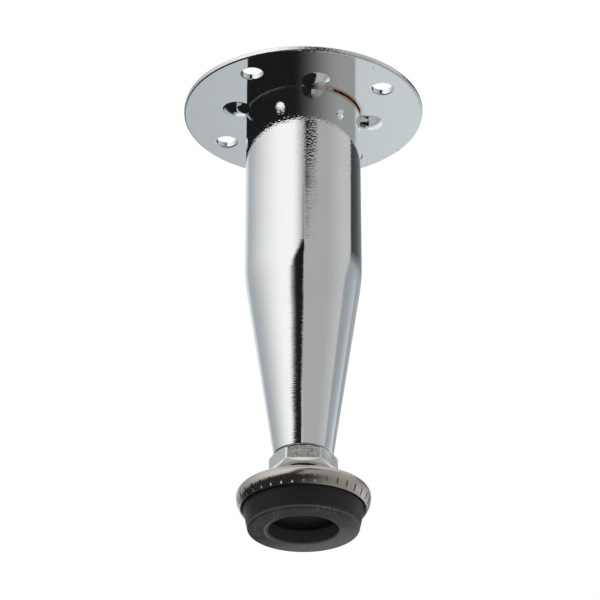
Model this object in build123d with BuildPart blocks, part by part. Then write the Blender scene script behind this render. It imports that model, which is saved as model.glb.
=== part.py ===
"""Tapered furniture leg with a screw-adjusted foot, in millimetres, +Z up.

The origin is at the middle of the rubber foot's underside, where the leg stands on the floor.
A round mounting plate carries a tapered tube. A threaded insert in the tube's narrow end takes a
levelling stud, which is turned by the hex fixed on it. The stud's ball end swivels in the foot.
"""
import os
from math import cos, radians, sin, sqrt, tan

from build123d import *

# Mounting plate: a blanked disc with punched holes, and nibs pressed down round the tube
plate_dia = 80.0
plate_thick = 2.0
plate_edge_round = 0.5
hole_dia = 7.0
hole_edge_round = 0.35
hole_circle_dia = 62.0
hole_count = 4
hole_start_angle = -32.7
drain_hole_dia = 10.0
nib_reach = 8.0
nib_width = 8.8
nib_height = 1.8
nib_slope = 12.0
nib_blend = 0.7
nib_count = 4
nib_start_angle = -79.0
nib_clearance = 0.1

# Leg tube: straight at the top, then a soft bend into a taper
tube_dia = 38.1
tube_wall = 1.5
tube_length = 126.0
taper_length = 63.3
tube_end_dia = 18.9
tube_bend_radius = 60.0
tube_end_round = 0.4

# Threaded insert: a tapered plug brazed into the narrow end of the tube
insert_length = 16.0
insert_recess = 0.6
braze_gap = 0.05
bore_chamfer = 0.6

# Levelling stud, and the hex fixed on it, with its corners turned off at both ends
stud_dia = 10.0
stud_reach = 29.0
stud_tip_chamfer = 1.2
thread_clearance = 0.06
hex_across_flats = 19.0
hex_thick = 5.5
hex_nose_dia = 18.6
hex_chamfer_angle = 30.0
hex_edge_round = 0.5
hex_fit = 0.03
hex_to_tube_gap = 0.3
neck_dia = 7.0
neck_length = 7.3
runout_length = 0.5
ball_dia = 9.0

# Swivel pieces inside the foot, all concentric with the ball
pivot_height = 12.3
swivel_gap = 0.15
washer_thick = 0.8
washer_skirt_rise = 0.4
thrust_cup_thick = 1.2
thrust_cup_drop = 3.4

# Foot cup: pressed from sheet, with a round shoulder and a rim that is rolled in and crimped
cup_dia = 42.3
cup_widest_height = 11.2
cup_rim_round = 6.9
cup_rim_roll = 36.5
cup_shoulder_round = 2.2
cup_roof_slope = 8.0
cup_sheet = 0.8
cup_boss_blend = 1.2
neck_hole_dia = 8.6
crimp_count = 36
crimp_wheel_dia = 6.0
crimp_width = 0.6
crimp_depth = 0.2
crimp_rise = 0.7

# Rubber foot, held by a flange above the cup's rim
rubber_base_dia = 34.9
rubber_fit = 0.25
rubber_lip = 0.6
rubber_flange_rise = 1.5
rubber_top = 11.0
rubber_edge_round = 0.9
recess_dia = 22.0
recess_depth = 5.0
recess_edge_round = 0.5

# Heights and radii that follow from the sizes above
tube_radius = tube_dia / 2
stud_radius = stud_dia / 2
neck_radius = neck_dia / 2
ball_radius = ball_dia / 2
hex_underside = pivot_height + neck_length
hex_top = hex_underside + hex_thick
tube_end = hex_top + hex_to_tube_gap
plate_underside = tube_end + tube_length
taper_start = tube_end + taper_length
taper_slope = (tube_dia - tube_end_dia) / 2 / taper_length
wall_across_taper = tube_wall * sqrt(1 + taper_slope**2)
bore_bend_height = taper_start + (wall_across_taper - tube_wall) / taper_slope
ball_seat_radius = ball_radius + swivel_gap
washer_outer_radius = ball_seat_radius + washer_thick
boss_inner_radius = washer_outer_radius + swivel_gap
boss_outer_radius = boss_inner_radius + cup_sheet
thrust_outer_radius = ball_seat_radius + thrust_cup_thick
pocket_radius = thrust_outer_radius + swivel_gap
pivot_point = (0, 0, pivot_height)


def taper_bore_radius(height):
    """Inner radius of the tapered stretch of the tube at a height."""
    return tube_end_dia / 2 - wall_across_taper + (height - tube_end) * taper_slope


# A nib is a ridge with an arc for its section, closed at its outer end by part of a ball. Its back
# slopes up to the plate on the way to the tube.
nib_section_radius = (nib_width**2 / 4 + nib_height**2) / (2 * nib_height)
nib_ball_centre = (
    tube_radius + nib_reach - nib_width / 2,
    0,
    plate_underside - nib_height + nib_section_radius,
)
nib_direction = (cos(radians(nib_slope)), 0, -sin(radians(nib_slope)))
nib_axis = Axis(nib_ball_centre, nib_direction)
nib_plane = Plane(nib_ball_centre, x_dir=nib_direction, z_dir=(0, -1, 0))

with BuildPart() as nib_ridge:
    with BuildSketch(nib_plane):
        with BuildLine():
            Polyline(
                (nib_section_radius, 0),
                (-nib_reach, 0),
                (-nib_reach, -nib_section_radius),
                (0, -nib_section_radius),
            )
            CenterArc((0, 0), nib_section_radius, 270, 90)
        make_face()
    revolve(axis=nib_axis)
    split(bisect_by=Plane.XY.offset(plate_underside), keep=Keep.BOTTOM)

# The dent that the punch leaves on top is the same ridge, one plate thickness further in
dent_radius = nib_section_radius - plate_thick
dent_length = nib_reach - nib_width / 2

with BuildPart() as nib_dent:
    with BuildSketch(nib_plane):
        with BuildLine():
            Polyline(
                (dent_radius, 0),
                (-dent_length, 0),
                (-dent_length, -dent_radius),
                (0, -dent_radius),
            )
            CenterArc((0, 0), dent_radius, 270, 90)
        make_face()
    revolve(axis=nib_axis)

with BuildPart() as mounting_plate:
    with BuildSketch(Plane.XY.offset(plate_underside)):
        Circle(plate_dia / 2)
    extrude(amount=plate_thick)
    fillet(mounting_plate.edges(), radius=plate_edge_round)
    with PolarLocations(0, nib_count, start_angle=nib_start_angle):
        add(nib_ridge.part)
    underside_edges = mounting_plate.faces().filter_by(Plane.XY).sort_by(Axis.Z)[0].edges()
    nib_feet = [
        edge
        for edge in underside_edges
        if tube_radius < Vector((edge @ 0.5).X, (edge @ 0.5).Y).length < tube_radius + nib_reach + nib_blend
    ]
    fillet(nib_feet, radius=nib_blend)
    with BuildSketch(Plane.XY.offset(plate_underside)):
        Circle(tube_radius + nib_clearance)
    extrude(amount=-nib_height, mode=Mode.SUBTRACT)
    with PolarLocations(0, nib_count, start_angle=nib_start_angle):
        add(nib_dent.part, mode=Mode.SUBTRACT)
    with BuildSketch(Plane.XY.offset(plate_underside)):
        Circle(drain_hole_dia / 2)
        with PolarLocations(hole_circle_dia / 2, hole_count, start_angle=hole_start_angle):
            Circle(hole_dia / 2)
    extrude(amount=plate_thick, mode=Mode.SUBTRACT)
    punched_edges = [
        edge
        for edge in mounting_plate.edges().filter_by(GeomType.CIRCLE)
        if edge.center().Z < plate_underside + hole_edge_round
        and edge.arc_center.Y**2 + edge.arc_center.X**2 > tube_radius**2
    ]
    fillet(punched_edges, radius=hole_edge_round)

with BuildPart() as leg_tube:
    with BuildSketch(Plane.XZ):
        with BuildLine():
            outside = FilletPolyline(
                (tube_radius, plate_underside),
                (tube_radius, taper_start),
                (tube_end_dia / 2, tube_end),
                radius=tube_bend_radius,
            )
            bore = FilletPolyline(
                (taper_bore_radius(tube_end), tube_end),
                (tube_radius - tube_wall, bore_bend_height),
                (tube_radius - tube_wall, plate_underside),
                radius=tube_bend_radius - tube_wall,
            )
            Line(outside @ 1, bore @ 0)
            Line(bore @ 1, outside @ 0)
        make_face()
    revolve(axis=Axis.Z)
    fillet(leg_tube.edges().group_by(Axis.Z)[0], radius=tube_end_round)

insert_bottom = tube_end + insert_recess
insert_top = insert_bottom + insert_length
bore_radius = stud_radius + thread_clearance

with BuildPart() as threaded_insert:
    with BuildSketch(Plane.XZ):
        with BuildLine():
            Polyline(
                (bore_radius, insert_bottom),
                (taper_bore_radius(insert_bottom) - braze_gap, insert_bottom),
                (taper_bore_radius(insert_top) - braze_gap, insert_top),
                (bore_radius, insert_top),
                close=True,
            )
        make_face()
    revolve(axis=Axis.Z)
    bore_edges = threaded_insert.faces().filter_by(GeomType.CYLINDER)[0].edges()
    chamfer(bore_edges.filter_by(GeomType.CIRCLE), length=bore_chamfer)

stud_bottom = hex_underside - runout_length
stud_top = hex_top + stud_reach

with BuildPart() as levelling_stud:
    with Locations(pivot_point):
        Sphere(ball_radius)
    with BuildSketch(Plane.XY.offset(pivot_height)):
        Circle(neck_radius)
    extrude(amount=stud_bottom - pivot_height)
    with BuildSketch(Plane.XY.offset(stud_bottom)):
        Circle(stud_radius)
    extrude(amount=stud_top - stud_bottom)
    chamfer(levelling_stud.edges().group_by(Axis.Z)[-1], length=stud_tip_chamfer)

hex_corner_radius = hex_across_flats / sqrt(3)
hex_chamfer = (hex_corner_radius - hex_nose_dia / 2) * tan(radians(hex_chamfer_angle))

with BuildPart() as adjusting_hex:
    with BuildSketch(Plane.XY.offset(hex_underside)):
        RegularPolygon(hex_across_flats / 2, side_count=6, major_radius=False)
    extrude(amount=hex_thick)
    fillet(adjusting_hex.edges().filter_by(Axis.Z), radius=hex_edge_round)
    with BuildSketch(Plane.XZ):
        with BuildLine():
            Polyline(
                (0, hex_underside),
                (hex_nose_dia / 2, hex_underside),
                (hex_corner_radius, hex_underside + hex_chamfer),
                (hex_corner_radius, hex_top - hex_chamfer),
                (hex_nose_dia / 2, hex_top),
                (0, hex_top),
                close=True,
            )
        make_face()
    revolve(axis=Axis.Z, mode=Mode.INTERSECT)
    with BuildSketch(Plane.XY.offset(hex_underside)):
        Circle(stud_radius + hex_fit)
    extrude(amount=hex_thick, mode=Mode.SUBTRACT)

with BuildPart() as swivel_washer:
    with Locations(pivot_point):
        Sphere(washer_outer_radius)
        Sphere(ball_seat_radius, mode=Mode.SUBTRACT)
    with BuildSketch(Plane.XY.offset(pivot_height)):
        Circle(neck_hole_dia / 2)
    extrude(amount=washer_outer_radius, mode=Mode.SUBTRACT)
    split(bisect_by=Plane.XY.offset(pivot_height + washer_skirt_rise), keep=Keep.TOP)

with BuildPart() as thrust_cup:
    with Locations(pivot_point):
        Sphere(thrust_outer_radius)
        Sphere(ball_seat_radius, mode=Mode.SUBTRACT)
    split(bisect_by=Plane.XY.offset(pivot_height - thrust_cup_drop), keep=Keep.BOTTOM)

cup_radius = cup_dia / 2
rim_centre = (cup_radius - cup_rim_round, cup_widest_height)
shoulder_centre = (cup_radius - cup_shoulder_round, cup_widest_height)
inner_rim_round = cup_rim_round - cup_sheet
roof_rise = tan(radians(cup_roof_slope))

with BuildPart() as foot_cup:
    with BuildSketch(Plane.XZ):
        with BuildLine():
            rolled_rim = CenterArc(rim_centre, cup_rim_round, 0, -cup_rim_roll)
            shoulder = CenterArc(shoulder_centre, cup_shoulder_round, 0, 90 - cup_roof_slope)
            shoulder_end = shoulder @ 1
            roof_top = (0, shoulder_end.Y + shoulder_end.X * roof_rise)
            rim_end = rolled_rim @ 1
            Polyline(shoulder_end, roof_top, (0, rim_end.Y), rim_end)
        make_face()
    revolve(axis=Axis.Z)
    with Locations(pivot_point):
        Sphere(boss_outer_radius, arc_size1=0, align=(Align.CENTER, Align.CENTER, Align.MIN))
    boss_foot = foot_cup.edges().filter_by(Plane.XY).sort_by(Axis.Z)[-1]
    fillet(boss_foot, radius=cup_boss_blend)
    with BuildSketch(Plane.XZ):
        with BuildLine():
            inner_rim = CenterArc(rim_centre, inner_rim_round, 0, -cup_rim_roll)
            inner_shoulder = CenterArc(shoulder_centre, cup_shoulder_round - cup_sheet, 0, 90 - cup_roof_slope)
            inner_end = inner_shoulder @ 1
            inner_top = (0, inner_end.Y + inner_end.X * roof_rise)
            Polyline(inner_end, inner_top, (0, rim_end.Y), rim_end, inner_rim @ 1)
        make_face()
    revolve(axis=Axis.Z, mode=Mode.SUBTRACT)
    with Locations(pivot_point):
        Sphere(boss_inner_radius, mode=Mode.SUBTRACT)
    with BuildSketch(Plane.XY.offset(pivot_height)):
        Circle(neck_hole_dia / 2)
    extrude(amount=boss_outer_radius, mode=Mode.SUBTRACT)
    crimp_height = rim_end.Y + crimp_rise
    crimped_radius = rim_centre[0] + sqrt(cup_rim_round**2 - (cup_widest_height - crimp_height) ** 2)
    crimp_ring_radius = crimped_radius + crimp_wheel_dia / 2 - crimp_depth
    with Locations((0, 0, crimp_height)):
        with PolarLocations(crimp_ring_radius, crimp_count):
            Cylinder(crimp_wheel_dia / 2, crimp_width, rotation=(90, 0, 0), mode=Mode.SUBTRACT)

rubber_waist = rim_centre[0] + inner_rim_round * cos(radians(cup_rim_roll)) - rubber_fit
flange_height = rim_end.Y + rubber_flange_rise
flange_radius = rim_centre[0] + sqrt(inner_rim_round**2 - (cup_widest_height - flange_height) ** 2) - rubber_fit

with BuildPart() as rubber_foot:
    with BuildSketch(Plane.XZ):
        with BuildLine():
            Polyline(
                (0, recess_depth),
                (recess_dia / 2, recess_depth),
                (recess_dia / 2, 0),
                (rubber_base_dia / 2, 0),
                (rubber_waist, rim_end.Y),
                (rubber_waist, rim_end.Y + rubber_lip),
                (flange_radius, flange_height),
                (flange_radius, rubber_top),
                (0, rubber_top),
                close=True,
            )
        make_face()
    revolve(axis=Axis.Z)
    floor_edges = rubber_foot.edges().group_by(Axis.Z)[0].sort_by(SortBy.RADIUS)
    fillet(floor_edges[-1], radius=rubber_edge_round)
    recess_rim = rubber_foot.edges().filter_by(Plane.XY).group_by(Axis.Z)[0].sort_by(SortBy.RADIUS)[0]
    fillet(recess_rim, radius=recess_edge_round)
    with Locations(pivot_point):
        Sphere(pocket_radius, mode=Mode.SUBTRACT)

pieces = {
    "mounting_plate": mounting_plate,
    "leg_tube": leg_tube,
    "threaded_insert": threaded_insert,
    "levelling_stud": levelling_stud,
    "adjusting_hex": adjusting_hex,
    "swivel_washer": swivel_washer,
    "thrust_cup": thrust_cup,
    "foot_cup": foot_cup,
    "rubber_foot": rubber_foot,
}

os.makedirs("parts", exist_ok=True)
for name, piece in pieces.items():
    piece.part.label = name
    export_step(piece.part, f"parts/{name}.step")
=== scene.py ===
# %% [markdown]
# # A chromed furniture leg with a levelling foot
# The leg is a tapered tube under a round bolt-on plate, with a screw-adjusted rubber foot at the bottom.
# Its CAD model is loaded first, as a frame that must not move. Everything that follows dresses that frame:
# finishes for the bare solids, a real thread in place of a smooth stud, a line of braze in the corner under
# the plate, and a small studio to see it in.

# %% Load the CAD frame
from math import atan2, cos, pi, radians, sin

import bmesh
import bpy
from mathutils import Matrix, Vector


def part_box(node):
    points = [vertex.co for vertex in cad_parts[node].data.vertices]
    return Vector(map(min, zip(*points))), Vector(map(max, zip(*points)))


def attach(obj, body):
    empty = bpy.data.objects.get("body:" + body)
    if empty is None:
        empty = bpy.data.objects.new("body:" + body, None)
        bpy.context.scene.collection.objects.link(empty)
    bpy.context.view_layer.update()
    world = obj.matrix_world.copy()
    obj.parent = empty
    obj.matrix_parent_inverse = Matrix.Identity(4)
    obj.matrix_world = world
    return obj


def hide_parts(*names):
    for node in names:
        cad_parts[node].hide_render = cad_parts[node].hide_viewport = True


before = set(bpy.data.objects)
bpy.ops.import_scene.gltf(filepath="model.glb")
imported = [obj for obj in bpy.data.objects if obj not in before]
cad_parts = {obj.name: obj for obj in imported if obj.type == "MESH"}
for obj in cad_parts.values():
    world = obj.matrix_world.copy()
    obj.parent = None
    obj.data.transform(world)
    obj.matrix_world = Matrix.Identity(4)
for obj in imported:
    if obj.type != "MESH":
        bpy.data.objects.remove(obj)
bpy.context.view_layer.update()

# %% [markdown]
# ## Sizes that the finishes need
# A finish often has to know where it is: rust sits in the corner under the plate, and painted highlights sit
# on the low edge of the hex and the outer edge of the rubber. Those places are read from the boxes of the CAD
# pieces, in metres, so that they stay right if the model is packed again with other sizes.

# %% Read heights and radii from the frame
plate_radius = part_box("mounting_plate")[1].x
tube_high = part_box("leg_tube")[1]
stud_low, stud_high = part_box("levelling_stud")
hex_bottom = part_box("adjusting_hex")[0].z
rubber_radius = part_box("rubber_foot")[1].x
plate_underside = tube_high.z
tube_radius = tube_high.x
stud_radius = stud_high.x
print("plate underside at", round(plate_underside, 5), "m, tube radius", round(tube_radius, 5), "m")

# %% [markdown]
# ## Writing shader maths as sums
# Blender's shader nodes can do any sum, but wiring them one by one hides the idea. This small class wraps
# one output socket. Python's own signs then add Math nodes, so `1 - mask` is written as it is thought.
# Every other node comes from the method `node`: first its settings, then the values or wires of its inputs.

# %% A wire that can be used in sums
class Wire:
    """One socket of a node tree, which can be added, multiplied and led into further nodes."""

    def __init__(self, tree, socket=None):
        self.tree = tree
        self.socket = socket

    def node(self, kind, settings=None, inputs=None, out=0):
        """Adds a node of this kind, sets it up, connects its inputs, and returns one of its outputs."""
        made = self.tree.nodes.new(kind)
        for name, value in (settings or {}).items():
            setattr(made, name, value)
        for key, value in (inputs or {}).items():
            if isinstance(value, Wire):
                self.tree.links.new(value.socket, made.inputs[key])
            else:
                made.inputs[key].default_value = value
        return Wire(self.tree, made.outputs[out]) if made.outputs else None

    def math(self, operation, first, second=0.0):
        """A Math node with this operation."""
        return self.node("ShaderNodeMath", {"operation": operation}, {0: first, 1: second})

    def __add__(self, other):
        return self.math("ADD", self, other)

    def __radd__(self, other):
        return self.math("ADD", other, self)

    def __sub__(self, other):
        return self.math("SUBTRACT", self, other)

    def __rsub__(self, other):
        return self.math("SUBTRACT", other, self)

    def __mul__(self, other):
        return self.math("MULTIPLY", self, other)

    def __rmul__(self, other):
        return self.math("MULTIPLY", other, self)

    def __truediv__(self, other):
        return self.math("DIVIDE", self, other)

    def __pow__(self, other):
        return self.math("POWER", self, other)

    def __neg__(self):
        return self.math("MULTIPLY", self, -1.0)

    def __abs__(self):
        return self.math("ABSOLUTE", self)

    def or_more(self, other):
        """The greater of this value and another."""
        return self.math("MAXIMUM", self, other)

    def rise(self, start, end):
        """Goes smoothly from 0 to 1 as this value goes from start to end."""
        limits = {"Value": self, "From Min": start, "From Max": end}
        return self.node("ShaderNodeMapRange", {"interpolation_type": "SMOOTHSTEP"}, limits)

    def band(self, start, end, soft):
        """Is 1 between start and end, and falls to 0 over a soft edge on both sides."""
        return self.rise(start - soft, start + soft) * (1 - self.rise(end - soft, end + soft))

    def mix_colour(self, first, second):
        """A colour between two others, with this value as the share of the second."""
        return self.node("ShaderNodeMix", {"data_type": "RGBA"}, {0: self, 6: first, 7: second}, 2)

    def parts(self):
        """The x, y and z of a vector."""
        made = self.node("ShaderNodeSeparateXYZ", {}, {0: self}).socket.node
        return [Wire(self.tree, socket) for socket in made.outputs]

    def stretched(self, scale):
        """This vector with each of its directions scaled."""
        return self.node("ShaderNodeVectorMath", {"operation": "MULTIPLY"}, {0: self, 1: scale})

    def noise(self, scale, detail=2.0, roughness=0.5):
        """Cloudy noise, about 0 to 1, at this vector."""
        inputs = {"Vector": self, "Scale": scale, "Detail": detail, "Roughness": roughness}
        return self.node("ShaderNodeTexNoise", {}, inputs)

    def specks(self, scale):
        """The distance from this vector to the nearest of many scattered points."""
        return self.node("ShaderNodeTexVoronoi", {}, {"Vector": self, "Scale": scale})

    def bump(self, microns, below=None):
        """A normal tilted by this height, in micrometres at full height, on top of another bump if given."""
        inputs = {"Height": self, "Distance": microns * 1e-6}
        if below:
            inputs["Normal"] = below
        return self.node("ShaderNodeBump", {}, inputs)


def grey(level):
    """A neutral colour."""
    return (level, level, level, 1)


print("wire sums ready")

# %% [markdown]
# ## Starting a finish
# A finish is a Principled shader with its even values set straight on its sockets. Only what changes over
# the surface comes in by wire. The object coordinates of every piece are the frame's own metres. Wear and
# stains are easier to think of in millimetres, so three helpers measure a point that way: its place, its
# distance from the leg's axis, and its bearing round that axis.

# %% Helpers for finishes
MM = 1000
DEGREES = 180 / pi


def new_finish(name, **even):
    """A new material with one Principled shader, that shader, and the wire of its object coordinates."""
    material = bpy.data.materials.new(name)
    material.use_nodes = True
    tree = material.node_tree
    shader = tree.nodes["Principled BSDF"]
    for socket, value in even.items():
        shader.inputs[socket.replace("_", " ").title()].default_value = value
    place = Wire(tree).node("ShaderNodeTexCoord", out=3)
    return material, shader, place


def feed(shader, **wires):
    """Leads wires into a shader's sockets."""
    for socket, wire in wires.items():
        wire.tree.links.new(wire.socket, shader.inputs[socket.replace("_", " ").title()])


def in_mm(place):
    """The x, y and z of a place in millimetres."""
    return place.stretched((MM, MM, MM)).parts()


def radius_of(place):
    """Distance from the leg's axis in millimetres."""
    x, y, _ = in_mm(place)
    return (x * x + y * y) ** 0.5


def bearing_of(place):
    """Angle round the leg's axis in degrees, from +X towards +Y."""
    x, y, _ = place.parts()
    return place.math("ARCTAN2", y, x) * DEGREES


print("finish helpers ready")

# %% [markdown]
# ## Chrome on the plate and the tube
# Chrome is nearly a mirror, so most of its look is the room round it. What the metal itself adds is small.
# Fingers leave dull smears, and the plating has missed a few pits near the plate's rim. In the corner under
# the plate, between two of the nibs, flux was left after brazing and has rusted: a dark core on the seam with
# a tan halo. A picture of rust would do, but masks made of distances stay sharp at any size. Noise added to
# the distances makes their edges ragged.

# %% Stain, smears and pits of the chrome
chrome, shader, place = new_finish("polished_chrome", metallic=1.0)
z = in_mm(place)[2]
radius = radius_of(place)
bearing = bearing_of(place)

stain_bearing = -34
stain_half_arc = 48
from_seam = ((radius - tube_radius * MM) ** 2 + (z - plate_underside * MM) ** 2) ** 0.5
ragged = place.noise(900, 3) - 0.5
stained_arc = 1 - (abs(bearing - stain_bearing) / stain_half_arc + ragged * 0.2).rise(0.3, 1.0)
stain_core = 1 - (from_seam + ragged * 0.5 - stained_arc * 0.6).rise(-0.3, 0.0)
stain_halo = (1 - (from_seam + ragged * 1.2).rise(0.3, 2.1)) * stained_arc

smear = place.noise(45, 4, 0.6).rise(0.45, 0.75)
near_rim = radius.rise(35.5, 37)
pit = (1 - place.specks(260).rise(0.06, 0.1)) * place.noise(35, 2).rise(0.5, 0.56) * near_rim

colour = smear.mix_colour((0.87, 0.885, 0.89, 1), (0.84, 0.85, 0.855, 1))
colour = (stain_halo * 0.75).mix_colour(colour, (0.62, 0.42, 0.24, 1))
colour = stain_core.mix_colour(colour, (0.035, 0.016, 0.008, 1))
colour = pit.mix_colour(colour, grey(0.05))
print("rust spans", 2 * stain_half_arc, "degrees at most")

# %% [markdown]
# Rust and smears are rougher than clean chrome, and so is the braze in the seam, most of all on the left.
# The surface isn't quite even either, and each kind of unevenness bends the reflections in its own way. The
# pressed plate waves a little. Polishing while it turned left fine lines round the tube. The heat of brazing
# left an orange peel on the tube below the plate, and the blanking tool left a torn rim. These are far too
# shallow to model, so each is a Bump, and they are chained so that each adds to the ones below it.

# %% Roughness and unevenness of the chrome
dull_braze = (1 - from_seam.rise(0.4, 0.46)) * (1 - bearing.rise(-128, -98) * 0.8)
rough = 0.045 + smear * 0.03 + stain_halo * 0.12 + stain_core * 0.4 + pit * 0.4 + dull_braze * 0.32

waves = place.noise(70, 1)
lines = place.stretched((300, 300, 2500)).noise(1, 2, 0.6)
under_plate = plate_underside * MM - z
heated = under_plate.band(6, 30, 6) * 0.7 + under_plate.band(6, 14, 4) * 0.4
peel = place.noise(1450, 0) * heated
on_rim = radius.rise(plate_radius * MM - 0.4, plate_radius * MM - 0.1)
torn = place.stretched((1500, 1500, 220)).noise(1, 3, 0.6) * on_rim

tilted = waves.bump(60)
tilted = lines.bump(7, tilted)
tilted = peel.bump(22, tilted)
tilted = torn.bump(120, tilted)
tilted = (1 - pit).bump(40, tilted)
feed(shader, base_color=colour, roughness=rough, normal=tilted)
print("chrome finish:", len(chrome.node_tree.nodes), "nodes")

# %% [markdown]
# ## Zinc on the hex and the stud
# Zinc plating is paler and duller than chrome, with a faint green from its passivation. The hex is cut from
# drawn bar, so fine lines run along its faces, and the faces are not quite flat. Light is painted on the hex
# as a pale coat that is less metallic, so that the even light makes it white: a painted highlight along the
# low edge over the cup, painted highlights on the corners of the left side, and a painted sheen in a cloud on
# the right side. The stud is thinner than the hex and keeps clear of all that.

# %% Painted highlights on the zinc
zinc, shader, place = new_finish("bright_zinc")
x, _, z = in_mm(place)
cloud = place.noise(260, 3, 0.6)
# A painted highlight along the low edge of the hex, over the cup.
above_edge = z - hex_bottom * MM + (place.noise(900, 3) - 0.5) * 0.8
painted_low_edge_highlight = 1 - abs(above_edge - 0.4).rise(0.4, 0.9)
half_face = 30.0
# Painted highlights on the hex corners, mostly on the left side.
from_corner = place.math("PINGPONG", bearing_of(place), half_face)
painted_corner_highlight = 1 - (from_corner + (cloud - 0.5) * 3).rise(0.9, 2.4)
painted_corner_highlight = painted_corner_highlight * (1 - x.rise(-2, 4) * 0.75)
# A painted sheen in a cloud on the right side of the hex.
painted_right_sheen = x.rise(4.5, 7) * cloud.rise(0.2, 0.7) * 0.5
on_hex = radius_of(place).rise(7.5, 8)
# All three are painted light, kept to the hex: a pale coat that is less metallic.
painted_highlight = painted_low_edge_highlight.or_more(painted_corner_highlight.or_more(painted_right_sheen)) * on_hex
print("hex corners every", 2 * half_face, "degrees")

# %% [markdown]
# The metal under the painted highlights comes next. Its colour and gloss change along the drawn lines and
# with a slow cloud. The same two patterns tilt the surface, so that colour and relief agree.

# %% Zinc finish
drawn = place.stretched((2400, 2400, 160)).noise(1, 2, 0.6)
colour = (cloud * 0.4 + drawn * 0.6).mix_colour((0.62, 0.66, 0.62, 1), (0.93, 0.96, 0.92, 1))
# The painted highlights make the zinc pale.
colour = (painted_highlight * 0.8).mix_colour(colour, (0.92, 0.93, 0.90, 1))
rough = 0.1 + cloud * 0.1 + drawn * 0.08 + painted_highlight * 0.3
tilted = cloud.bump(200)
tilted = drawn.bump(40, tilted)
feed(shader, base_color=colour, roughness=rough, metallic=1 - painted_highlight * 0.85, normal=tilted)
print("zinc finish:", len(zinc.node_tree.nodes), "nodes")

# %% [markdown]
# ## Nickel on the foot cup
# The cup is drawn from thin sheet and plated in nickel, which is a warmer grey than chrome. Drawing leaves
# streaks that run down the skirt, and handling leaves a satin cloud over them, stronger on the right. Both
# are noise: stretched along the height for the streaks, even for the cloud.

# %% Nickel finish
nickel, shader, place = new_finish("satin_nickel", metallic=1.0)
handled = in_mm(place)[0].rise(1, 12)
cloud = place.noise(120, 4, 0.6)
streak = place.stretched((1500, 1500, 90)).noise(1, 2, 0.6)
colour = cloud.mix_colour((0.49, 0.455, 0.41, 1), (0.63, 0.595, 0.545, 1))
rough = 0.12 + cloud * 0.08 + streak * 0.05 + handled * 0.16
feed(shader, base_color=colour, roughness=rough, normal=streak.bump(10))
print("nickel finish:", len(nickel.node_tree.nodes), "nodes")

# %% [markdown]
# ## Plain steel inside
# The insert, the washer and the thrust cup are turned from plain steel and never seen unless the foot is
# screwed out. A sine of the radius gives the lines that a lathe leaves, and oil has darkened them unevenly.

# %% Steel finish
steel, shader, place = new_finish("turned_steel", metallic=1.0)
oil = place.noise(180, 3, 0.6)
turning = place.math("SINE", radius_of(place) * 14 + oil * 3)
colour = oil.mix_colour((0.34, 0.33, 0.32, 1), (0.56, 0.56, 0.56, 1))
rough = 0.3 + oil * 0.15
feed(shader, base_color=colour, roughness=rough, normal=(turning * 0.5 + 0.5).bump(6))
print("steel finish:", len(steel.node_tree.nodes), "nodes")

# %% [markdown]
# ## Moulded rubber
# The foot is black rubber with a satin skin from its mould. Its floor side is lighter, a little from dust and
# mostly from painted light that grows towards the right and the back. The outer edge and the edge of the
# recess get painted highlights, and a thin painted highlight lies on the rim of the recess on the left. Each
# of these has a mask from the height over the floor and the distance from the axis, so each stays on its
# edge.

# %% Places on the rubber
rubber, shader, place = new_finish("moulded_rubber")
shader.inputs["Specular IOR Level"].default_value = 0.38
x, y, z = in_mm(place)
radius = radius_of(place)
recess_radius = 11.0
recess_depth = 5.0
dust = place.noise(240, 4, 0.65)
floor_side = 1 - (z + dust * 0.6).rise(0.5, 1.5)
# Painted highlights on the outer edge and on the edge of the recess.
outer_edge_highlight = radius.rise(rubber_radius * MM - 2.4, rubber_radius * MM - 1.8) * z.band(0.35, 1.0, 0.25)
recess_edge_highlight = radius.band(recess_radius, recess_radius + 0.5, 0.2) * floor_side
# Painted light on the wall of the recess.
recess_wall_light = radius.band(recess_radius - 0.2, recess_radius + 0.2, 0.2)
recess_wall_light = recess_wall_light * z.band(1.0, recess_depth - 0.2, 0.3)
# Painted shade at the closed end of the recess.
recess_end_shade = 1 - radius.rise(recess_radius - 0.4, recess_radius - 0.1)
recess_end_shade = recess_end_shade * z.rise(recess_depth - 0.5, recess_depth - 0.1)
# A thin painted highlight on the rim of the recess, on the left side only.
painted_rim_highlight = radius.band(recess_radius + 0.8, recess_radius + 1.3, 0.2) * floor_side
painted_rim_highlight = painted_rim_highlight * abs(bearing_of(place)).rise(120, 165)
scuff = place.noise(1500, 3, 0.7).rise(0.53, 0.62) * place.noise(150, 2).rise(0.42, 0.58)
scuff = scuff * (1 - z.rise(0.5, 2)) * radius.rise(recess_radius + 0.2, recess_radius + 0.8)
# Painted light on the floor side, growing towards the right and the back.
painted_light_ramp = (x * 0.6 + y).rise(-4, 18)
print("recess", 2 * recess_radius, "mm across,", recess_depth, "mm deep")

# %% [markdown]
# The masks are now laid over the black one after another, as coats of paint go on: dust and painted light on
# the floor side, painted shade at the end of the recess, painted light on its wall, painted highlights on the
# edges, and last the scuffs and the painted rim highlight.

# %% Rubber finish
grain = place.noise(5200, 2, 0.6)
colour = dust.mix_colour((0.005, 0.005, 0.0062, 1), (0.010, 0.010, 0.0115, 1))
# The floor side is lighter: a little of it is dust, most of it is painted light.
dust_and_painted_light = floor_side * (0.06 + dust * 0.12 + painted_light_ramp * 0.82)
colour = dust_and_painted_light.mix_colour(colour, (0.115, 0.115, 0.117, 1))
# Painted shade makes the end of the recess nearly black.
colour = recess_end_shade.mix_colour(colour, grey(0.0005))
# The wall of the recess gets painted light.
colour = (recess_wall_light * 0.8).mix_colour(colour, grey(0.045))
# The painted edge highlights, in a lighter grey.
colour = (outer_edge_highlight * 0.7 + recess_edge_highlight * 0.35).mix_colour(colour, grey(0.075))
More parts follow.
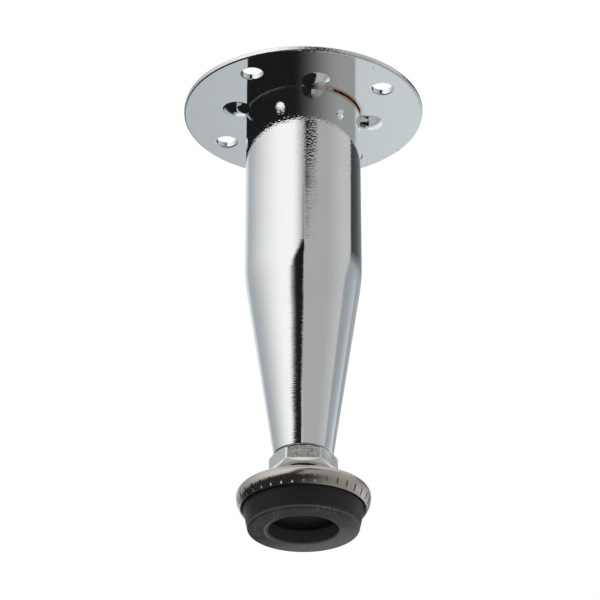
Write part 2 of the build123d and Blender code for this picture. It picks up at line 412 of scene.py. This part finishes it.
# The scuffs, and the painted rim highlight, in the same pale grey.
colour = (scuff * 0.6 + painted_rim_highlight * 0.7).mix_colour(colour, grey(0.16))
rough = 0.42 + dust * 0.12 + floor_side * 0.2
feed(shader, base_color=colour, roughness=rough, normal=grain.bump(20))
print("rubber finish:", len(rubber.node_tree.nodes), "nodes")

# %% [markdown]
# ## Giving the CAD pieces their finishes
# The solids of the plate, tube, hex, cup and rubber already have the right shape, so they stay and only
# change material. The smooth stud gets one too, although a threaded one takes its place below.

# %% Assign finishes
finishes = {
    "mounting_plate": chrome,
    "leg_tube": chrome,
    "threaded_insert": steel,
    "levelling_stud": zinc,
    "adjusting_hex": zinc,
    "swivel_washer": steel,
    "thrust_cup": steel,
    "foot_cup": nickel,
    "rubber_foot": rubber,
}
for name, finish in finishes.items():
    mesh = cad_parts[name].data
    mesh.materials.clear()
    mesh.materials.append(finish)
print("finishes on", len(finishes), "CAD pieces")

# %% [markdown]
# ## The stud's thread
# The CAD stud is smooth, because a thread is slow to build as a solid. Here it is a mesh: one profile of
# rings is turned round the axis, and each ring's radius follows a 60 degree V that climbs one pitch a turn.
# A right-hand thread climbs anticlockwise seen from above. The V takes most of the pitch and is drawn a
# little too tall, so that cutting it off leaves a flat crest. It fades in above its start, and the stud's tip
# is chamfered. A Screw modifier could turn a V as well, but it would not fade in.

# %% Thread profile
pitch = 0.0015
thread_depth = 0.613 * pitch
flank_share = 0.8
overshoot = 1.15
thread_start = hex_bottom - 0.0005
plain_length = 0.0006
fade_length = 0.0012
tip_chamfer = 0.0012
hair = 0.00002


def between_0_and_1(value):
    """The value, kept within 0 and 1."""
    return min(max(value, 0), 1)


def thread_radius(height, angle):
    """Radius of the threaded stud at a height and an angle."""
    turn = (height / pitch - angle / (2 * pi)) % 1
    ramp = min(abs(turn - 0.5) * 2 / flank_share, 1.0)
    crest = between_0_and_1(overshoot - ramp * overshoot)
    start = between_0_and_1((height - thread_start - plain_length) / fade_length)
    tip = between_0_and_1((stud_high.z - height) / tip_chamfer)
    full = stud_radius - hair - (1 - crest) * thread_depth * start
    return min(full, stud_radius - tip_chamfer + tip_chamfer * tip)


print("thread depth", round(thread_depth * MM, 3), "mm")

# %% [markdown]
# Two pieces here are turned round the axis, the stud and later the braze. Both are built in a bmesh, and the
# same helper makes the object: it points the faces outwards, shades them smooth and puts it in the scene.

# %% Helpers for turned pieces
def smooth_piece(name, body):
    """An object in the scene from a bmesh, with smooth shading and its faces outwards."""
    bmesh.ops.recalc_face_normals(body, faces=body.faces)
    mesh = bpy.data.meshes.new(name)
    body.to_mesh(mesh)
    body.free()
    for face in mesh.polygons:
        face.use_smooth = True
    piece = bpy.data.objects.new(name, mesh)
    bpy.context.scene.collection.objects.link(piece)
    return piece


def lathe(name, rings):
    """A closed piece from rings of points, bottom to top, with a point in the middle of each end."""
    body = bmesh.new()
    loops = [[body.verts.new(point) for point in ring] for ring in rings]
    for low, high in zip(loops, loops[1:]):
        count = len(low)
        for i in range(count):
            body.faces.new((low[i], low[(i + 1) % count], high[(i + 1) % count], high[i]))
    for loop, height in ((loops[0], rings[0][0][2]), (loops[-1], rings[-1][0][2])):
        middle = body.verts.new((0, 0, height))
        for i in range(len(loop)):
            body.faces.new((loop[i], loop[(i + 1) % len(loop)], middle))
    return smooth_piece(name, body)


def ring_at(height, radius_at, steps_round=72):
    """One ring of points at a height, with a radius for each angle."""
    angles = [2 * pi * i / steps_round for i in range(steps_round)]
    return [(radius_at(height, a) * cos(a), radius_at(height, a) * sin(a), height) for a in angles]


print("helpers for turned pieces ready")

# %% [markdown]
# The stud's lower end is a ball on a short neck, on which the foot leans. Rings are stacked from the bottom
# up: the ball, the neck, and then the thread, with twelve rings to a pitch so that its flanks come out clean.

# %% Threaded stud with its neck and ball
neck_radius = 0.0035
ball_radius = 0.0045
ball_centre = stud_low.z + ball_radius
ball_steps = 24
steps_per_pitch = 12

neck_lift = (ball_radius**2 - neck_radius**2) ** 0.5
neck_angle = pi - atan2(neck_radius, neck_lift)
polar = [i * neck_angle / ball_steps for i in range(1, ball_steps + 1)]
rings = [ring_at(ball_centre - ball_radius * cos(t), lambda h, a, t=t: ball_radius * sin(t)) for t in polar]
rings.append(ring_at(thread_start, lambda h, a: neck_radius))
count = int((stud_high.z - thread_start) / pitch * steps_per_pitch)
step = (stud_high.z - thread_start) / count
rings += [ring_at(thread_start + i * step, thread_radius) for i in range(count + 1)]
stud = lathe("stud_with_thread", rings)
stud.data.materials.append(zinc)
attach(stud, "stud")
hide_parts("levelling_stud")
print("stud:", len(stud.data.polygons), "faces")

# %% [markdown]
# ## The brazed seam
# The tube meets the plate in a sharp corner in CAD. On the real leg, braze metal has flowed into the corner
# and leaves a thin hollow fillet that catches a line of light. It is a quarter arc and the corner behind it,
# turned round the axis into a closed ring. The corner reaches a hair into the metal, so that no gap shows.

# %% Seam ring
def seam_ring(name, reach, segments=192, steps=5):
    """A hollow fillet in the corner of the tube and the plate."""
    inner, top = tube_radius - hair, plate_underside + hair
    angles = [pi / 2 * i / steps for i in range(steps + 1)]
    rim = [(inner + reach * (1 - sin(t)), top - reach * (1 - cos(t))) for t in angles]
    rim.append((inner, top))
    body = bmesh.new()
    loops = []
    for i in range(segments):
        a = 2 * pi * i / segments
        loops.append([body.verts.new((r * cos(a), r * sin(a), h)) for r, h in rim])
    for i in range(segments):
        here, there = loops[i], loops[(i + 1) % segments]
        for k in range(len(rim)):
            after = (k + 1) % len(rim)
            body.faces.new((here[k], there[k], there[after], here[after]))
    return smooth_piece(name, body)


seam = seam_ring("brazed_seam", reach=0.00045)
seam.data.materials.append(chrome)
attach(seam, "leg")
print("seam:", len(seam.data.polygons), "faces")

# %% [markdown]
# ## The camera
# The leg was photographed from below, from nearly a metre away with a long lens. The camera stands in front
# of the leg, looks along +Y and up, and its place and lens were worked out from the plate's two ellipses.

# %% Camera
camera_data = bpy.data.cameras.new("studio_camera")
camera_data.sensor_width = 36.0
camera_data.lens = 171.22
camera_data.clip_start = 0.05
camera_data.clip_end = 50.0
looking_up = 28.24
camera = bpy.data.objects.new("studio_camera", camera_data)
camera.location = (-0.00108, -0.81458, -0.35622)
camera.rotation_euler = (radians(90 + looking_up), 0, 0)
bpy.context.scene.collection.objects.link(camera)
bpy.context.scene.camera = camera
print("camera at", [round(v, 3) for v in camera.location])

# %% [markdown]
# ## The floor
# The leg stands on a pale floor. The photograph looks up from under that floor, so the floor has one side
# only: seen from below it lets everything through. It is hidden from reflections and from bounced light,
# so that the light from below still reaches the underside of the foot, and it fades out into the backdrop.
# The frame holds the leg still and lets the foot screw out downwards, so the floor follows the swivel seat,
# which slides but never turns: then the foot stands on the floor at every height.

# %% One-sided floor
floor_reach = 3.0
floor_gap = 0.0002
corners = [(-1, -1), (1, -1), (1, 1), (-1, 1)]
floor_mesh = bpy.data.meshes.new("floor")
floor_mesh.from_pydata([(floor_reach * x, floor_reach * y, 0) for x, y in corners], [], [(0, 1, 2, 3)])
floor = bpy.data.objects.new("floor", floor_mesh)
floor.location.z = -floor_gap
bpy.context.scene.collection.objects.link(floor)
for ray in ("diffuse", "glossy", "transmission", "shadow", "volume_scatter"):
    setattr(floor, "visible_" + ray, False)
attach(floor, "swivel_seat")
print("floor", 2 * floor_reach, "m wide")

# %% [markdown]
# The paint asks two things of each point: is it seen from below, and is it far from the leg? Either of them
# makes it clear. Elsewhere it is a plain matt white that takes the foot's soft shadow.

# %% Floor paint
floor_paint = bpy.data.materials.new("pale_floor")
floor_paint.use_nodes = True
tree = floor_paint.node_tree
tree.nodes.clear()
bench = Wire(tree)
under = bench.node("ShaderNodeNewGeometry", out="Backfacing")
far = radius_of(bench.node("ShaderNodeTexCoord", out=3)).rise(350, 1100)
matt = bench.node("ShaderNodeBsdfDiffuse", {}, {"Color": grey(0.82)})
clear = bench.node("ShaderNodeBsdfTransparent")
shade = bench.node("ShaderNodeMixShader", {}, {0: under.or_more(far), 1: matt, 2: clear})
bench.node("ShaderNodeOutputMaterial", {}, {"Surface": shade})
floor_mesh.materials.append(floor_paint)
print("floor paint:", len(tree.nodes), "nodes")

# %% [markdown]
# ## The studio
# Polished metal shows the room, so the room is designed here, as a function of the direction that a ray
# leaves in. `side` is the bearing of that direction in degrees, 0 towards the camera and positive to the
# right, and `lift` is its height over the horizon. Panels and lamps could stand in the scene instead, but a
# long lens shows each of them only as one patch on the tube, and a sum can place that patch exactly.

# %% Directions in the room
world = bpy.data.worlds.new("studio")
bpy.context.scene.world = world
world.use_nodes = True
tree = world.node_tree
tree.nodes.clear()
bench = Wire(tree)
east, north, up = bench.node("ShaderNodeTexCoord", out=0).parts()
side = bench.math("ARCTAN2", east, -north) * DEGREES
lift = bench.math("ARCSINE", up) * DEGREES
low = 1 - lift.rise(12, 28)
print("directions:", len(tree.nodes), "nodes")

# %% [markdown]
# A large soft box fills the left, and the wall on the right is a middle grey. Between them is a dark gap
# where the camera stands. The straight tube shows the heights near 30 degrees of lift and the cone those
# near 10, so the gap is drawn in two parts. The high part is a V that opens upwards. The low part leans to
# the left as it goes down, and its top is slanted.

# %% Soft box and dark gap
soft_box = side.rise(-148 + low * 25, -38) * (1 - side.rise(-22, 4))
upper = 0.43 + soft_box * 0.6 + side.rise(45, 90) * 0.13

high_width = lift.rise(29.6, 32.4) * 27
high_gap = side.rise(-1, 7) * (1 - (side - high_width).rise(-2, 6)) * lift.rise(29.8, 30.6)

lean = 1 - lift.rise(7.5, 11.5)
past_left = (side + lean * 19).rise(-35, -13)
past_right = (side + lean * 8.5 - lift.band(21, 27, 1.5) * 1.5).rise(-0.5, 1.5)
past_top = (lift - (side + lean * 14) * 0.68).rise(27, 33)
low_gap = past_left * (1 - past_right) * (1 - past_top)
upper = upper * (1 - (high_gap * 0.975).or_more(low_gap * 0.985))
print("soft box and gap:", len(tree.nodes), "nodes")

# %% [markdown]
# A dark pillar stands on the right. It leans, and it is wider and darker higher up. Low down, the wall beyond
# it brightens to a glint and then ends in a darker strip, which draws a thin line along the cone's edge. The
# ceiling is pale.

# %% Pillar and ceiling
turn = side - lift * 1.39
pillar_end = 98 + lift.rise(12, 30) * 85
pillar = turn.rise(65, 70) * (1 - turn.rise(72, pillar_end))
upper = upper * (1 - pillar * (0.35 + 0.55 * lift.rise(24, 29.5)))
beyond = side.rise(131, 135) * low
glint = side.rise(106, 131) * low - beyond
upper = upper * (1 + glint * 0.55 - beyond * 0.58)
upper = upper + (0.85 - upper) * lift.rise(40, 56)
print("upper room:", len(tree.nodes), "nodes")

# %% [markdown]
# Below the horizon the room is drawn on a plan of the floor, far under the leg: `across` runs to the right
# and `away` runs from the camera to the back wall. A black cloth lies at the front and grows paler to the
# right. Behind it lies a pale board, which is what the flat plate shows.

# %% Room below the horizon
down = (-up).or_more(0.05)
across = east / down
away = north / down
straight_down = 1 - (across * across + away * away).rise(0.25, 1.0)
shallow = lift.rise(-28, -18)
cloth_edge = side.rise(shallow * 25 - 20, 85 - shallow * 15) * 0.355
cloth_edge = cloth_edge + (across.rise(-0.05, 0.06) * 0.43 - cloth_edge) * straight_down
cloth = 0.011 + cloth_edge + (-side).rise(115, 150) * shallow * 0.3
board = 0.51 + across.rise(-0.12, 0.12) * 0.19 + away.rise(1.8, 3.2) * 0.25
on_board = away.rise(0.9, 1.25) * across.rise(-0.4, -0.22)
lower = cloth + (board - cloth) * on_board
print("lower room:", len(tree.nodes), "nodes")

# %% [markdown]
# The two halves meet in a soft line, a little over the horizon on the left, where the edge of a table stands.
# The far left has a pale strip at that height. Daylight from the left and the back makes those sides a touch
# bluer than the rest.

# %% Both halves and their tint
table_line = 4 * (1 - side.rise(-50, -20))
level = lower + (upper - lower) * (lift - table_line).rise(-2, 6)
pale_strip = (-side).rise(132, 160) * lift.band(-4, 40, 6)
level = level + (0.82 - level) * pale_strip

cool = (on_board * (1 - lift.rise(-20, -8))).or_more((-side).rise(95, 125))
cool = cool.or_more(turn.rise(65, 73) * lift.rise(0, 8))
warm_white, cool_white = (1.0, 0.998, 0.988), (0.93, 0.99, 1.03)
white = bench.node("ShaderNodeMix", {"data_type": "VECTOR"}, {0: cool, 4: warm_white, 5: cool_white}, 1)
tint = bench.node("ShaderNodeVectorMath", {"operation": "SCALE"}, {0: white, "Scale": level})
print("whole room:", len(tree.nodes), "nodes")

# %% [markdown]
# Three kinds of rays see three different things. The camera sees a white backdrop. Reflections see the room.
# Matt surfaces are lit by an even white, so that their colours come out as they are written.

# %% What each kind of ray sees
backdrop = bench.node("ShaderNodeBackground", {}, {"Color": grey(1.0), "Strength": 1.0})
room = bench.node("ShaderNodeBackground", {}, {"Color": tint, "Strength": 1.0})
even = bench.node("ShaderNodeBackground", {}, {"Color": grey(1.0), "Strength": 0.85})
from_camera = bench.node("ShaderNodeLightPath", out="Is Camera Ray")
from_gloss = bench.node("ShaderNodeLightPath", out="Is Glossy Ray")
shade = bench.node("ShaderNodeMixShader", {}, {0: from_gloss, 1: even, 2: room})
shade = bench.node("ShaderNodeMixShader", {}, {0: from_camera, 1: shade, 2: backdrop})
bench.node("ShaderNodeOutputWorld", {}, {"Surface": shade})
print("studio:", len(tree.nodes), "nodes")

# %% [markdown]
# ## One soft lamp
# The even light has no direction. A wide lamp high on the left gives the floor a soft shadow and the rubber
# a lit side. It is kept out of reflections, where the soft box already stands.

# %% Lamp
lamp_data = bpy.data.lights.new("soft_lamp", "AREA")
lamp_data.shape = "DISK"
lamp_data.size = 0.9
lamp_data.energy = 6.0
middle_of_leg = Vector((0, 0, 0.08))
lamp = bpy.data.objects.new("soft_lamp", lamp_data)
lamp.location = (-0.9, -0.8, 1.3)
lamp.rotation_euler = (middle_of_leg - lamp.location).to_track_quat("-Z", "Y").to_euler()
lamp.visible_glossy = False
bpy.context.scene.collection.objects.link(lamp)
print("lamp", lamp_data.energy, "W")

# %% [markdown]
# ## Closing
# The picture uses the Standard view, so colours stay as written.

# %% Finish
bpy.context.scene.view_settings.view_transform = "Standard"
